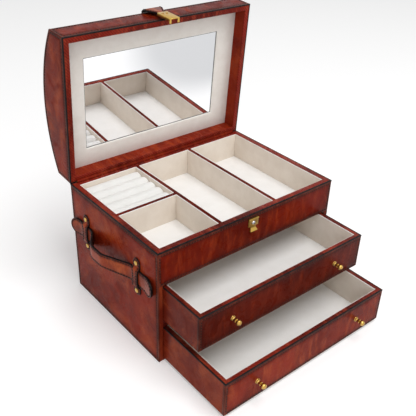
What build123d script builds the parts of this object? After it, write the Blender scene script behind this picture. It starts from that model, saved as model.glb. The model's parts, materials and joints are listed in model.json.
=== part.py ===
from build123d import *
import math
import os

# A leather-covered jewellery chest: a board case with a divided tray on top,
# two drawers pulled part-way out below it, and a domed lid with a mirror,
# standing open on a rolled leather hinge.
# Millimetres. X runs to the chest's right, -Y to its front, +Z up.
# The origin is the middle of the base, on the surface it stands on.

# Case
chest_width = 320.0
chest_depth = 218.0
wall_board = 6.0
cover_leather = 1.4
base_pad = 1.2
base_board = 3.0
front_panel_height = 53.0
tray_floor_board = 6.0
shelf_board = 11.8
edge_round = 0.9

# Divided tray
tray_rim = 9.2
tray_depth = 42.0
lining = 1.2
lining_step = 0.6
divider_width = 5.8
divider_x = 50.2
cross_divider_y = -1.3
divider_step = 0.5

# Ring cushion
ring_roll_count = 5
ring_cushion_drop = 4.5
ring_roll_sag = 6.0
ring_end_taper = 0.94
soft_gap = 0.3

# Drawers
drawer_height = 54.8
drawer_side_gap = 0.8
drawer_slide_gap = 0.3
drawer_back_gap = 2.0
drawer_top_gap = 0.6
drawer_front_gap = 2.6
drawer_wall = 4.4
drawer_bottom = 3.0
drawer_leather = 1.2
drawer_facing = 1.2
upper_drawer_out = 75.0
lower_drawer_out = 128.0
kicker_width = 7.0

# Drawer knobs
knob_x = 97.0
knob_ball_radius = 4.0
knob_ball_steps = 5
knob_reach = 11.5
knob_neck_radius = 1.7
knob_collar_radius = 2.8
knob_collar_length = 2.6
rosette_radius = 5.2
rosette_thickness = 1.6
rosette_slope = 0.8
knob_screw_radius = 1.4
knob_screw_head_radius = 2.8
knob_screw_head = 1.1
screw_clearance = 0.1
small_sides = 12
plate_sides = 24

# Lid
lid_board = 5.0
lid_wall_height = 36.0
dome_rise = 29.0
dome_board = 4.0
lid_facing = 1.0
lid_rim_leather = 1.2
rim_gap = 0.8
lid_open_angle = 86.0
lid_recess = 23.0
lining_frame = 2.4
mirror_width = 237.0
mirror_height = 139.5
mirror_centre_y = 4.3
mirror_glass = 2.2
mirror_lap = 4.0
mirror_backing = 3.4
frame_round = 1.0

# Rolled hinge
hinge_inset = 0.3
hinge_end_gap = 2.6
hinge_segments = 7
hinge_segment_gap = 0.4
pin_radius = 1.0
pin_clearance = 0.05
knuckle_radius = 2.0
roll_leather = 1.05
roll_fit = 0.05
roll_clearance = 0.3
leaf_thickness = 0.8
leaf_height = 14.0
leaf_fit = 0.1

# Lock and clasp
lock_width = 18.0
lock_height = 13.0
lock_top_drop = 6.0
lock_plate = 2.0
lock_lip = 1.2
lock_lip_height = 2.4
catch_neck_width = 9.0
catch_neck_height = 2.6
catch_width = 13.0
catch_height = 4.4
catch_reach = 2.6
button_radius = 3.0
button_clearance = 0.1
button_proud = 1.5
button_dome = 1.0
button_travel = 1.2
button_shank = 3.0
clip_width = 17.0
clip_length = 30.0
clip_sheet = 1.2
clip_side_depth = 3.2
clip_stand_off = 4.6
clip_prong_gap = 0.4
clip_prong_reach = 1.0
clasp_leather = 2.4
clasp_width = 29.0
clasp_narrow_width = 14.2
clasp_root_length = 27.0
clasp_root_gap = 0.3
clasp_lap = 13.0
clasp_corner = 5.0
clasp_bend_radius = 7.0
clasp_shoulder = 5.0
rivet_radius = 1.9
rivet_head = 0.6

# Side handles
handle_leather = 3.0
handle_height = 25.0
handle_middle_height = 22.0
handle_tab_height = 27.0
handle_centre_z = 121.0
handle_bow = 20.5
handle_bow_back_y = 24.0
handle_bow_front_y = -4.0
handle_stand_off = 0.3
handle_tip_y = 104.0
handle_tip_bow = 7.0
handle_tab_start = 86.0
handle_tab_taper = 6.0
handle_tab_bend_y = 84.0
handle_back_bend_y = 50.0
handle_front_bend_y = -48.0
handle_bend_radius = 26.0
keeper_centre_y = 2.0
keeper_y = 65.0
keeper_width = 15.0
keeper_waist = 11.5
keeper_leather = 2.4
keeper_gap = 0.4
keeper_window = 27.6
keeper_foot = 15.0
keeper_bend_radius = 2.6
stud_radius = 3.3
stud_head = 1.5
stud_dome = 0.9
stud_inset = 7.3

# Places worked out from the sizes above
half_width = chest_width / 2
half_depth = chest_depth / 2
board_x = half_width - cover_leather
board_y = half_depth - cover_leather
inner_x = board_x - wall_board
inner_y = board_y - wall_board
base_top = base_pad + base_board
lower_drawer_z = base_top + drawer_slide_gap
shelf_low = lower_drawer_z + drawer_height + drawer_top_gap * 2
shelf_top = shelf_low + shelf_board
upper_drawer_z = shelf_top + drawer_slide_gap
kicker_low = upper_drawer_z + drawer_height + drawer_top_gap
panel_low = upper_drawer_z + drawer_height + drawer_front_gap
case_height = panel_low + front_panel_height
board_top = case_height - cover_leather
tray_x = half_width - tray_rim
tray_y = half_depth - tray_rim
tray_floor_top = case_height - tray_depth - lining
tray_floor_low = tray_floor_top - tray_floor_board
lid_low = case_height + rim_gap
lid_board_x = half_width - cover_leather
lid_inner_x = lid_board_x - lid_board
lid_inner_y = board_y - lid_board
dome_radius = (half_depth**2 + dome_rise**2) / (2 * dome_rise)
dome_centre_z = lid_low + lid_wall_height + dome_rise - dome_radius
hinge_length = (inner_x - hinge_end_gap) * 2
hinge_y = half_depth - hinge_inset
hinge_z = case_height + rim_gap / 2
roll_radius = knuckle_radius + roll_fit + roll_leather
cove_radius = roll_radius + roll_clearance
lid_hinge = Axis((0, hinge_y, hinge_z), (1, 0, 0))
lock_top = case_height - lock_top_drop
front_face = -half_depth


def block(x0, x1, y0, y1, z0, z1):
    """A box between two corners."""
    centre = Pos((x0 + x1) / 2, (y0 + y1) / 2, (z0 + z1) / 2)
    return centre * Box(x1 - x0, y1 - y0, z1 - z0)


def rod_x(radius, x0, x1, y, z):
    """A round bar along X."""
    return Pos((x0 + x1) / 2, y, z) * Rot(0, 90, 0) * Cylinder(radius, x1 - x0)


def rod_y(radius, y0, y1, x, z):
    """A round bar along Y."""
    return Pos(x, (y0 + y1) / 2, z) * Rot(90, 0, 0) * Cylinder(radius, y1 - y0)


def small_rod(radius, y0, y1, x, z):
    """A small bar or hole along Y, with few sides."""
    bar = extrude(Plane.XZ * RegularPolygon(radius, small_sides), amount=y1 - y0)
    return Pos(x, y1, z) * bar


def opened(shape):
    """The lid's pieces are drawn shut, then turned back about the hinge."""
    return shape.rotate(lid_hinge, -lid_open_angle)


def save(name, *shapes):
    """One STEP file for each piece or group of like pieces."""
    solids = [solid for shape in shapes for solid in shape.solids()]
    whole = solids[0] if len(solids) == 1 else Compound(children=solids)
    whole.label = name
    export_step(whole, os.path.join("parts", name + ".step"))


def band(points, radius, thickness):
    """A flat strip of leather seen on edge: a bent line made thick, with round ends."""
    line = FilletPolyline(*points, radius=radius)
    return make_face(Wire(line.edges()).offset_2d(thickness / 2, kind=Kind.ARC))


def mirrored(shape):
    """The same piece on the other side of the chest."""
    return mirror(shape, Plane.YZ)


def hinge_cove(half_length):
    """The space that the roll turns in, cut from both rims."""
    return rod_x(cove_radius, -half_length, half_length, hinge_y, hinge_z)


def leaf_rebate(z0, z1):
    """The shallow recess for a hinge leaf in the face of a back board."""
    half = hinge_length / 2 + leaf_fit
    return block(-half, half, leaf_face() - leaf_fit, half_depth, z0, z1)


def leaf_face():
    """The leaf's inner face, in line with the side of the knuckle."""
    return hinge_y - knuckle_radius


# Case: boards
def case_boards():
    cove = hinge_cove(hinge_length / 2 + leaf_fit * 2)
    side = block(inner_x, board_x, -board_y, board_y, base_pad, board_top)
    save("case_side_boards", side, mirrored(side))
    back = block(-inner_x, inner_x, inner_y, board_y, base_pad, board_top)
    back -= leaf_rebate(hinge_z - leaf_height - leaf_fit, case_height)
    save("case_back_board", back - cove)
    save("case_base_board", block(-inner_x, inner_x, -board_y, inner_y, base_pad, base_top))
    front_low = panel_low + cover_leather
    save("case_front_board", block(-inner_x, inner_x, -board_y, -inner_y, front_low, board_top)
         - button_pocket())
    save("tray_floor_board", block(-inner_x, inner_x, -inner_y, inner_y, tray_floor_low, tray_floor_top))
    save("drawer_shelf_board", block(-inner_x, inner_x, -board_y, inner_y, shelf_low, shelf_top))
    kicker = block(inner_x - kicker_width, inner_x, -inner_y, inner_y, kicker_low, tray_floor_low)
    save("drawer_kickers", kicker, mirrored(kicker))
    save("base_pad", block(-board_x, board_x, -board_y, board_y, 0, base_pad))


def button_pocket():
    """The hole behind the lock plate that the button is pushed into."""
    depth = button_shank + button_travel * 2
    radius = button_radius + button_clearance
    return rod_y(radius, front_face, front_face + depth, 0, button_z())


def button_z():
    return lock_top - lock_lip_height - (lock_height - lock_lip_height) / 2


# Case: leather covers
def case_covers():
    skin_low = soft_gap
    side = block(board_x, half_width, -half_depth, half_depth, skin_low, board_top)
    side = fillet(side.edges().filter_by(Axis.Z).group_by(Axis.X)[-1], edge_round)
    stile = block(inner_x, board_x, -half_depth, -board_y, skin_low, panel_low)
    side += stile
    save("case_cover_right", side)
    save("case_cover_left", mirrored(side))
    back = block(-board_x, board_x, board_y, half_depth, skin_low, board_top)
    save("case_cover_back", back - hinge_cove(hinge_length / 2 + leaf_fit * 2))
    front = block(-board_x, board_x, -half_depth, -board_y, panel_low, board_top)
    front += block(-inner_x, inner_x, -board_y, -inner_y, panel_low, panel_low + cover_leather)
    save("case_cover_front", front - button_pocket())
    shelf_edge = block(-inner_x, inner_x, -half_depth, -board_y, shelf_low, shelf_top)
    base_edge = block(-inner_x, inner_x, -half_depth, -board_y, skin_low, base_top)
    save("drawer_bay_edging", shelf_edge, base_edge)
    rim = block(-half_width, half_width, -half_depth, half_depth, board_top, case_height)
    rim = fillet(rim.faces().sort_by(Axis.Z)[-1].edges(), edge_round)
    rim += block(-inner_x, inner_x, -inner_y, inner_y, tray_floor_top, board_top)
    rim -= block(-tray_x, tray_x, -tray_y, tray_y, tray_floor_top, case_height)
    save("tray_rim_cap", rim - hinge_cove(hinge_length / 2 + leaf_fit * 2))


# Case: the divided tray
def tray_bay(x0, x1, y0, y1):
    """A suede-lined box that drops into one bay of the tray."""
    top = case_height - lining_step
    bay = block(x0, x1, y0, y1, tray_floor_top, top)
    hollow = block(x0 + lining, x1 - lining, y0 + lining, y1 - lining, tray_floor_top + lining, top)
    return bay - hollow


def divider(x0, x1, y0, y1):
    """An upright partition with a rounded leather top."""
    wall = block(x0, x1, y0, y1, tray_floor_top, case_height - divider_step)
    along = Axis.Y if y1 - y0 > x1 - x0 else Axis.X
    top_edges = wall.faces().sort_by(Axis.Z)[-1].edges().filter_by(along)
    return fillet(top_edges, edge_round)


def tray():
    half = divider_width / 2
    long_wall = divider(divider_x - half, divider_x + half, -tray_y, tray_y)
    save("tray_long_dividers", long_wall, mirrored(long_wall))
    left_end = -divider_x - half
    cross = divider(-tray_x, left_end, cross_divider_y - half, cross_divider_y + half)
    save("tray_cross_divider", cross)
    middle = divider_x - half
    right = divider_x + half
    save("tray_linings",
         tray_bay(-tray_x, left_end, -tray_y, cross_divider_y - half),
         tray_bay(-middle, middle, -tray_y, tray_y),
         tray_bay(right, tray_x, -tray_y, tray_y))
    save("ring_bay_lining", tray_bay(-tray_x, left_end, cross_divider_y + half, tray_y))
    save("ring_cushion", ring_cushion(left_end, cross_divider_y + half))


def ring_cushion(right, front):
    """Padded rolls side by side: each is a crowned bar with its ends drawn in."""
    x0 = -tray_x + lining + soft_gap
    x1 = right - lining - soft_gap
    y0 = front + lining + soft_gap
    y1 = tray_y - lining - soft_gap
    low = tray_floor_top + lining
    top = case_height - ring_cushion_drop
    pitch = (y1 - y0) / ring_roll_count
    body = block(x0, x1, y0, y1, low, top - ring_roll_sag)
    for number in range(ring_roll_count):
        middle = y0 + pitch * (number + 0.5)
        body += ring_roll(x0, x1, middle, pitch, top)
    return body


def ring_roll(x0, x1, middle, pitch, top):
    """One roll: a domed section, smaller at both ends."""
    crown = roll_section(pitch, 1.0, top)
    tip = roll_section(pitch, ring_end_taper, top - ring_roll_sag * (1 - ring_end_taper))
    stations = [(x0, tip), (x0 + pitch / 2, crown), (x1 - pitch / 2, crown), (x1, tip)]
    sections = [Pos(x, middle, 0) * (Plane.YZ * section) for x, section in stations]
    return loft(sections, ruled=True)


def roll_section(pitch, share, top):
    """A roll seen from its end: flat below, with one arc over it."""
    half = pitch / 2 * share
    low = top - ring_roll_sag
    foot = low - ring_roll_sag / 2
    arc = ThreePointArc((half, low), (0, top), (-half, low))
    return make_face(arc + Polyline((-half, low), (-half, foot), (half, foot), (half, low)))


# Drawers
def drawer(name, z0, pulled):
    """One drawer with its leather, lining, knobs and screws, drawn pulled out."""
    x = inner_x - drawer_side_gap
    front = -half_depth - pulled
    back = inner_y - drawer_back_gap - pulled
    top = z0 + drawer_height
    bx = x - drawer_leather
    fy = front + drawer_leather
    by = back - drawer_leather
    board_high = top - drawer_leather
    wall_x = bx - drawer_wall
    bottom_high = z0 + drawer_bottom
    front_board = block(-bx, bx, fy, fy + drawer_wall, z0, board_high)
    for side in (-1, 1):
        front_board -= small_rod(knob_screw_radius + screw_clearance, front, fy + drawer_wall * 2,
                             side * knob_x, z0 + drawer_height / 2)
    back_board = block(-bx, bx, by - drawer_wall, by, z0, board_high)
    side_board = block(wall_x, bx, fy + drawer_wall, by - drawer_wall, z0, board_high)
    save(name + "_boards", front_board, back_board, side_board, mirrored(side_board))
    save(name + "_bottom", block(-wall_x, wall_x, fy + drawer_wall, by - drawer_wall, z0, bottom_high))
    cover = block(-x, x, front, back, z0, board_high)
    cover = fillet(cover.edges().filter_by(Axis.Z).group_by(Axis.Y)[0], edge_round)
    cover -= block(-bx, bx, fy, by, z0, board_high)
    for side in (-1, 1):
        cover -= small_rod(knob_screw_radius + screw_clearance, front, fy, side * knob_x,
                       z0 + drawer_height / 2)
    save(name + "_cover", cover)
    face_x = wall_x - drawer_facing
    face_y0 = fy + drawer_wall + drawer_facing
    face_y1 = by - drawer_wall - drawer_facing
    rim = block(-x, x, front, back, board_high, top)
    rim = fillet(rim.faces().sort_by(Axis.Z)[-1].edges(), edge_round)
    rim += block(-wall_x, wall_x, fy + drawer_wall, by - drawer_wall, bottom_high, board_high)
    rim -= block(-face_x, face_x, face_y0, face_y1, bottom_high, top)
    for side in (-1, 1):
        rim -= small_rod(knob_screw_head_radius + screw_clearance, face_y0 - knob_screw_head - screw_clearance,
                     face_y0, side * knob_x, z0 + drawer_height / 2)
        rim -= small_rod(knob_screw_radius + screw_clearance, front, face_y0, side * knob_x,
                     z0 + drawer_height / 2)
    save(name + "_rim_cap", rim)
    lining_top = top - lining_step
    tub = block(-face_x, face_x, face_y0, face_y1, bottom_high, lining_top)
    tub -= block(-face_x + lining, face_x - lining, face_y0 + lining, face_y1 - lining,
                 bottom_high + lining, lining_top)
    save(name + "_lining", tub)
    knob_z = z0 + drawer_height / 2
    places = [Pos(side * knob_x, front, knob_z) for side in (-1, 1)]
    save(name + "_rosettes", *[place * rosette() for place in places])
    save(name + "_knobs", *[place * knob() for place in places])
    screw_start = face_y0 - front
    save(name + "_knob_screws", *[place * knob_screw(screw_start) for place in places])


def turned(points):
    """A turned piece: a half outline in (radius, distance out from the front)."""
    outline = make_face(Polyline(*points, close=True))
    return Rot(90, 0, 0) * revolve(Plane.XZ * outline, Axis.Z)


def rosette():
    """The round plate under a knob, with a sloping edge."""
    plate = extrude(Plane.XZ * RegularPolygon(rosette_radius, plate_sides), amount=rosette_thickness)
    plate = chamfer(plate.faces().sort_by(Axis.Y)[0].edges(), rosette_slope)
    hole = RegularPolygon(knob_collar_radius + screw_clearance, plate_sides)
    return plate - extrude(Plane.XZ * hole, amount=rosette_thickness)


def knob():
    """A collar, a waisted neck and a ball, turned from one bar and drilled for its screw."""
    shoulder = knob_collar_length + knob_collar_radius - knob_neck_radius
    start = math.degrees(math.asin(knob_neck_radius / knob_ball_radius))
    step = (180 - start) / knob_ball_steps
    angles = [math.radians(start + step * number) for number in range(knob_ball_steps)]
    ball = [(knob_ball_radius * math.sin(angle), knob_reach - knob_ball_radius * math.cos(angle))
            for angle in angles]
    body = turned([(0, 0), (knob_collar_radius, 0), (knob_collar_radius, knob_collar_length),
                   (knob_neck_radius, shoulder)] + ball + [(0, knob_reach + knob_ball_radius)])
    return body - small_rod(knob_screw_radius, -knob_collar_length, 0, 0, 0)


def knob_screw(start):
    """A screw from inside the drawer front into the knob, with its head let in."""
    shank = small_rod(knob_screw_radius, -knob_collar_length, start - knob_screw_head, 0, 0)
    head = small_rod(knob_screw_head_radius, start - knob_screw_head, start, 0, 0)
    return shank + head


# Lid, drawn shut
def lid_section(inset, low):
    """The lid seen from its end: two walls joined by one arc, drawn in by an inset."""
    half = half_depth - inset
    radius = dome_radius - inset
    wall_top = dome_centre_z + math.sqrt(radius**2 - half**2)
    crown = dome_centre_z + radius
    outline = Polyline((-half, wall_top), (-half, low), (half, low), (half, wall_top))
    outline += ThreePointArc((half, wall_top), (0, crown), (-half, wall_top))
    return Plane.YZ * make_face(outline)


def lid_bar(inset, low, x0, x1):
    """The lid's section drawn out along X."""
    return Pos(x0, 0, 0) * extrude(lid_section(inset, low), amount=x1 - x0)


def lid():
    cove = hinge_cove(hinge_length / 2 + leaf_fit * 2)
    rim_high = lid_low + lid_rim_leather
    end = lid_bar(cover_leather, rim_high, lid_inner_x, lid_board_x)
    under = dome_radius - cover_leather - dome_board
    hollow = rod_x(under, -chest_width, chest_width, 0, dome_centre_z)
    front = block(-lid_inner_x, lid_inner_x, -board_y, -lid_inner_y, rim_high, lid_low + chest_depth)
    back = block(-lid_inner_x, lid_inner_x, lid_inner_y, board_y, rim_high, lid_low + chest_depth)
    back -= leaf_rebate(lid_low, hinge_z + leaf_height + leaf_fit)
    save("lid_boards", *[opened(board) for board in
                         (end, mirrored(end), front & hollow, (back - cove) & hollow)])
    dome = lid_bar(cover_leather, rim_high, -lid_inner_x, lid_inner_x) - hollow
    save("lid_dome_board", opened(dome))
    inner_low = lid_low - lid_wall_height
    skin = lid_bar(0, rim_high, -board_x, board_x) - lid_bar(cover_leather, inner_low, -half_width, half_width)
    save("lid_cover_dome", opened(skin - cove))
    end_skin = lid_bar(0, rim_high, board_x, half_width)
    outer = end_skin.faces().sort_by(Axis.X)[-1].edges().sort_by(Axis.Z)[1:]
    end_skin = chamfer(outer, edge_round)
    save("lid_cover_right", opened(end_skin))
    save("lid_cover_left", opened(mirrored(end_skin)))
    panel_z = lid_low + lid_recess
    rim = block(-half_width, half_width, -half_depth, half_depth, lid_low, rim_high)
    rim = fillet(rim.faces().sort_by(Axis.Z)[0].edges(), edge_round)
    rim += block(-lid_inner_x, lid_inner_x, -lid_inner_y, lid_inner_y, rim_high, panel_z)
    face_x = lid_inner_x - lid_facing
    face_y = lid_inner_y - lid_facing
    rim -= block(-face_x, face_x, -face_y, face_y, lid_low, panel_z)
    save("lid_rim_cap", opened(rim - cove))
    frame_high = panel_z + lining_frame
    frame = block(-lid_inner_x, lid_inner_x, -lid_inner_y, lid_inner_y, panel_z, frame_high)
    window = mirror_block(0, panel_z, frame_high)
    save("mirror_frame", opened(chamfered_window(frame - window)))
    glass_high = frame_high + mirror_glass
    save("mirror_glass", opened(mirror_block(mirror_lap, frame_high, glass_high)))
    backing = block(-lid_inner_x, lid_inner_x, -lid_inner_y, lid_inner_y, frame_high,
                    glass_high + mirror_backing)
    save("mirror_backing", opened(backing - mirror_block(mirror_lap, frame_high, glass_high)))


def mirror_block(lap, z0, z1):
    """The mirror's opening, or the glass that laps past it."""
    x = mirror_width / 2 + lap
    y = mirror_height / 2 + lap
    return block(-x, x, mirror_centre_y - y, mirror_centre_y + y, z0, z1)


def chamfered_window(frame):
    """The suede turns over the window's front edge in a soft slope."""
    low_face = frame.faces().sort_by(Axis.Z)[0]
    return chamfer(low_face.inner_wires()[0].edges(), frame_round)


# Rolled hinge
def hinge():
    pitch = hinge_length / hinge_segments
    case_side = [number for number in range(hinge_segments) if number % 2 == 0]
    lid_side = [number for number in range(hinge_segments) if number % 2 == 1]
    half = hinge_length / 2
    cut_back = cove_radius + leaf_fit * 4
    spans = [(-half + pitch * number + hinge_segment_gap / 2,
              -half + pitch * (number + 1) - hinge_segment_gap / 2) for number in range(hinge_segments)]
    case_leaf = leaf(half, -1, cut_back, [spans[number] for number in case_side])
    save("hinge_case_leaf", case_leaf)
    lid_leaf = leaf(half, 1, cut_back, [spans[number] for number in lid_side])
    save("hinge_lid_leaf", opened(lid_leaf))
    save("hinge_pin", rod_x(pin_radius, -half, half, hinge_y, hinge_z))
    save("hinge_case_roll", *[sleeve(*spans[number], 1) for number in case_side])
    save("hinge_lid_roll", *[opened(sleeve(*spans[number], -1)) for number in lid_side])


def leaf(half, way, cut_back, spans):
    """A hinge leaf: a plate in the board's face, with its knuckles round the pin."""
    face = leaf_face()
    low, high = sorted((hinge_z + way * cut_back, hinge_z + way * leaf_height))
    plate = block(-half, half, face, face + leaf_thickness, low, high)
    bore = rod_x(pin_radius + pin_clearance, -half, half, hinge_y, hinge_z)
    for x0, x1 in spans:
        low, high = sorted((hinge_z, hinge_z + way * cut_back))
        knuckle = rod_x(knuckle_radius, x0, x1, hinge_y, hinge_z)
        plate += block(x0, x1, face, face + leaf_thickness, low, high) + knuckle
    return plate - bore


def sleeve(x0, x1, way):
    """Leather wrapped over the inner side of one knuckle."""
    ring = rod_x(roll_radius, x0, x1, hinge_y, hinge_z)
    ring -= rod_x(knuckle_radius + roll_fit, x0, x1, hinge_y, hinge_z)
    low, high = sorted((hinge_z - way * roll_fit, hinge_z + way * roll_radius))
    return ring & block(x0, x1, hinge_y - roll_radius, hinge_y + roll_leather, low, high)


# Lock on the case front
def lock():
    half = lock_width / 2
    low = lock_top - lock_height
    plate = block(-half, half, front_face - lock_plate, front_face, low, lock_top)
    plate = fillet(plate.edges().filter_by(Axis.Y).group_by(Axis.Z)[-1], edge_round)
    lip = block(-half, half, front_face - lock_plate - lock_lip, front_face - lock_plate,
                lock_top - lock_lip_height, lock_top)
    plate += fillet(lip.edges().filter_by(Axis.Y).group_by(Axis.Z)[-1], edge_round)
    neck_low = low - catch_neck_height
    neck = catch_neck_width / 2
    plate += block(-neck, neck, front_face - lock_plate, front_face, neck_low, low)
    plate += catch(neck_low)
    plate -= button_pocket() + Pos(0, -lock_plate, 0) * button_pocket()
    save("lock_plate", plate)
    start = front_face - lock_plate - button_proud
    button = rod_y(button_radius, start, front_face + button_shank, 0, button_z())
    button = chamfer(button.faces().sort_by(Axis.Y)[0].edges(), button_dome)
    save("lock_button", button)


def catch(high):
    """The ledge below the neck: it widens and leans out as it goes down."""
    neck = catch_neck_width / 2
    wide = catch_width / 2
    low = high - catch_height
    front = make_face(Polyline((-neck, high), (neck, high), (wide, low), (-wide, low), close=True))
    wedge = Pos(0, front_face, 0) * extrude(Plane.XZ * front, amount=lock_plate + catch_reach)
    side = make_face(Polyline((front_face, high), (front_face, low),
                              (front_face - lock_plate - catch_reach, low),
                              (front_face - lock_plate, high), close=True))
    profile = Pos(-catch_width, 0, 0) * extrude(Plane.YZ * side, amount=catch_width * 2)
    return wedge & profile


# Clasp on the lid, drawn shut
def clasp_axis_place():
    """The strap bends where it comes off the dome, a half thickness out from the edge."""
    out = clasp_leather / 2 + clasp_root_gap
    return front_face - out, lid_low + lid_wall_height + out


def clasp():
    axis_y, axis_z = clasp_axis_place()
    prong_z = lock_top - lock_height - clip_prong_gap
    clip_low = prong_z - clip_sheet
    clip_high = clip_low + clip_length
    out_y = front_face - clip_stand_off - clasp_leather / 2
    strap_low = clip_high - clasp_lap
    path = [(axis_y, axis_z), (out_y, axis_z - (axis_y - out_y)), (out_y, strap_low)]
    strip = extrude(Plane.YZ * band(path, clasp_bend_radius, clasp_leather), amount=clasp_width)
    strip = Pos(-clasp_width / 2, 0, 0) * strip
    wide = clasp_width / 2
    narrow = clasp_narrow_width / 2
    shoulder = clip_high + clasp_shoulder
    outline = make_face(Polyline((-wide, axis_z + wide), (wide, axis_z + wide), (wide, shoulder + wide),
                                 (narrow, shoulder), (narrow, strap_low - wide), (-narrow, strap_low - wide),
                                 (-narrow, shoulder), (-wide, shoulder + wide), close=True))
    tongue = strip & extrude(Plane.XZ * outline, amount=chest_depth)
    save("clasp_strap", opened(tongue))
    save("clasp_clip", opened(clip(out_y, clip_low, clip_high)))
    rivet_z = clip_high - clasp_lap / 2
    sheet_out = out_y - clasp_leather / 2 - clip_sheet
    rivets = [rod_y(rivet_radius, sheet_out - rivet_head, sheet_out, x, rivet_z)
              for x in (-narrow / 2, narrow / 2)]
    save("clasp_rivets", *[opened(rivet) for rivet in rivets])
    save("clasp_root", opened(clasp_root(axis_y, axis_z)))


def clip(out_y, low, high):
    """A folded brass sheet: a face, two turned-in sides and a slotted lip with two prongs."""
    half = clip_width / 2
    face_in = out_y - clasp_leather / 2
    face = block(-half, half, face_in - clip_sheet, face_in, low, high)
    for side in (-1, 1):
        x0, x1 = sorted((side * half, side * (half - clip_sheet)))
        face += block(x0, x1, face_in, face_in + clip_side_depth, low, high)
        inner = side * (catch_neck_width / 2 + clip_prong_gap * 2)
        p0, p1 = sorted((side * half, inner))
        face += block(p0, p1, face_in, front_face - clip_prong_reach, low, low + clip_sheet)
    return face


def clasp_root(axis_y, axis_z):
    """The sewn-down end of the clasp strap, lying on the dome behind its bend."""
    inner = dome_radius + clasp_root_gap / 2
    outer = inner + clasp_leather
    ring = rod_x(outer, -clasp_width, clasp_width, 0, dome_centre_z)
    ring -= rod_x(inner, -chest_width, chest_width, 0, dome_centre_z)
    keep = block(-clasp_width / 2, clasp_width / 2, -half_depth, -half_depth + clasp_root_length,
                 lid_low, lid_low + lid_wall_height + dome_rise)
    keep = fillet(keep.edges().filter_by(Axis.Z).group_by(Axis.Y)[-1], clasp_corner)
    clear = rod_x(clasp_leather / 2 + clasp_root_gap, -clasp_width, clasp_width, axis_y, axis_z)
    return (ring & keep) - clear


# Side handles
def handles():
    lie = half_width + handle_stand_off + handle_leather / 2
    bow = half_width + handle_bow
    tip = half_width + handle_tip_bow
    points = [(tip, handle_tip_y + handle_leather), (lie, handle_tab_bend_y),
              (lie, handle_back_bend_y), (bow, handle_bow_back_y),
              (bow, handle_bow_front_y), (lie, handle_front_bend_y),
              (lie, -handle_tab_bend_y), (tip, -handle_tip_y - handle_leather)]
    strip = extrude(band(points, handle_bend_radius, handle_leather), amount=handle_tab_height)
    strip = Pos(0, 0, handle_centre_z - handle_tab_height / 2) * strip
    strap = strip & handle_outline()
    save("handle_strap_right", strap)
    save("handle_strap_left", mirrored(strap))
    keeper_places = [keeper_centre_y + side * keeper_y for side in (-1, 1)]
    keepers = [keeper(y) for y in keeper_places]
    save("handle_keepers", *keepers, *[mirrored(piece) for piece in keepers])
    studs = [stud(y, end) for y in keeper_places for end in (-1, 1)]
    save("keeper_studs", *studs, *[mirrored(piece) for piece in studs])


def handle_outline():
    """The strap seen from the side: slimmest at its bow, with a deeper round tab at each end."""
    tab = handle_tab_height / 2
    half = handle_height / 2
    slim = handle_tab_start - handle_tab_taper
    ends = [Pos(side * (handle_tip_y - tab), 0) * Circle(tab) for side in (-1, 1)]
    upper = [(tab - handle_tip_y, tab), (-handle_tab_start, tab), (-slim, half), (handle_front_bend_y, half),
             (handle_bow_front_y, handle_middle_height / 2), (handle_bow_back_y, handle_middle_height / 2),
             (handle_back_bend_y, half), (slim, half), (handle_tab_start, tab), (handle_tip_y - tab, tab)]
    lower = [(y, -z) for y, z in reversed(upper)]
    outline = make_face(Polyline(*upper, *lower, close=True)) + ends
    return Pos(half_width, 0, handle_centre_z) * extrude(Plane.YZ * outline, amount=chest_width)


def keeper_reach():
    """How far a keeper's middle stands out from the side, to clear the strap."""
    return handle_stand_off + handle_leather + keeper_gap + keeper_leather / 2


def keeper(y):
    """A leather loop over the strap, with a rounded foot above and below it."""
    low = half_width + keeper_leather / 2
    out = half_width + keeper_reach()
    half = keeper_window / 2 + keeper_leather / 2
    foot = half + keeper_foot
    rise = keeper_reach() - keeper_leather / 2
    path = [(low, foot + keeper_leather), (low, half + rise / 2), (out, half - rise / 2),
            (out, rise / 2 - half), (low, -half - rise / 2), (low, -foot - keeper_leather)]
    strip = extrude(Plane.XZ * band(path, keeper_bend_radius, keeper_leather), amount=keeper_width)
    strip = Pos(0, y + keeper_width / 2, handle_centre_z) * strip
    return strip & keeper_outline(y, foot)


def keeper_outline(y, foot):
    """The keeper seen from the side: round feet and a slim waist."""
    wide = keeper_width / 2
    waist = keeper_waist / 2
    shoulder = foot - keeper_width
    outline = Polyline((wide, foot - wide), (wide, shoulder), (waist, shoulder - wide),
                       (waist, wide - shoulder), (wide, -shoulder), (wide, wide - foot))
    outline += ThreePointArc((wide, wide - foot), (0, -foot), (-wide, wide - foot))
    outline += Polyline((-wide, wide - foot), (-wide, -shoulder), (-waist, wide - shoulder),
                        (-waist, shoulder - wide), (-wide, shoulder), (-wide, foot - wide))
    outline += ThreePointArc((-wide, foot - wide), (0, foot), (wide, foot - wide))
    face = Plane.YZ * make_face(outline)
    return Pos(half_width, y, handle_centre_z) * extrude(face, amount=chest_width)


def stud(y, end):
    """A domed brass stud through a keeper's foot."""
    foot = keeper_window / 2 + keeper_leather / 2 + keeper_foot
    z = handle_centre_z + end * (foot - stud_inset)
    head = extrude(Plane.YZ * RegularPolygon(stud_radius, plate_sides), amount=stud_head)
    head = chamfer(head.faces().sort_by(Axis.X)[-1].edges(), stud_dome)
    return Pos(half_width + keeper_leather, y, z) * head


os.makedirs("parts", exist_ok=True)
case_boards()
case_covers()
tray()
drawer("upper_drawer", upper_drawer_z, upper_drawer_out)
drawer("lower_drawer", lower_drawer_z, lower_drawer_out)
lid()
hinge()
lock()
clasp()
handles()
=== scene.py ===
# %% [markdown]
# # A leather jewellery chest
# The chest is boards covered with glazed hide. Its panels have rolled, burnished
# edges and a row of hand stitching beside each edge. Inside it is cream suede.
# The boards, leaves and fastenings come finished from the CAD frame. This lesson
# adds what a leather worker adds: hides, bindings, stitches, linings and straps.

# %% Load the frame
import json
import math

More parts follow.
